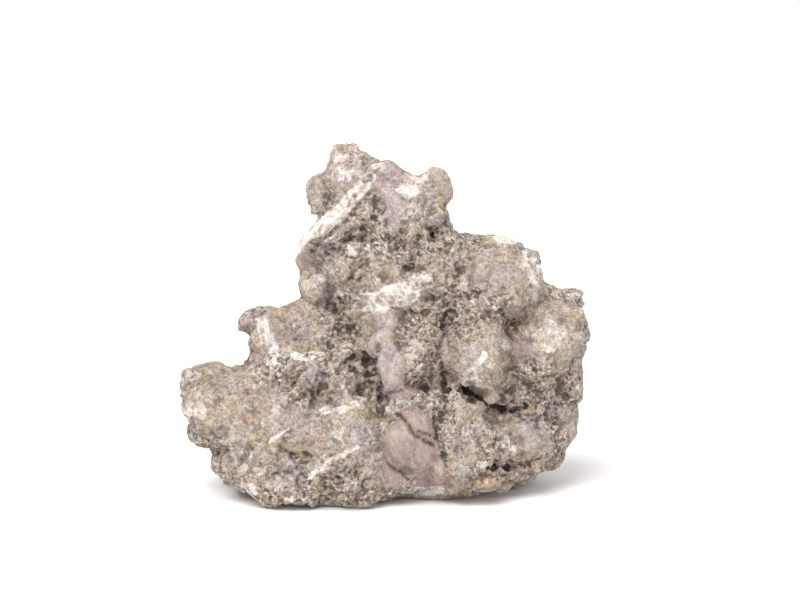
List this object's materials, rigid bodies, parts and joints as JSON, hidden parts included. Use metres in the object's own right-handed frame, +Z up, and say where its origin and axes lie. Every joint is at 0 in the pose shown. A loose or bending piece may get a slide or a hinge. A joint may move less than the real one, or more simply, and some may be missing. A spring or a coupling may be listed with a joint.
{
  "type": "aquascaping rock",
  "caption": "Knobbly breccia stone shaped like a small crag, with a tall head, stepped shoulders, a smooth darker slab down its front and a flat underside to stand on.",
  "frame": {"origin": "on the ground, under the middle of the stone's bounding box", "axes": "+X to the right as the front is seen, along the stone's length; +Y from front to back; +Z up"},
  "size_m": [0.2074, 0.1094, 0.1776],
  "materials": {
    "breccia_stone": "dry, rough, pitted breccia in grey-beige, with white veins, mauve slabs and ochre stains"
  },
  "bodies": {
    "root": {"rock": "breccia_stone"}
  },
  "joints": []
}
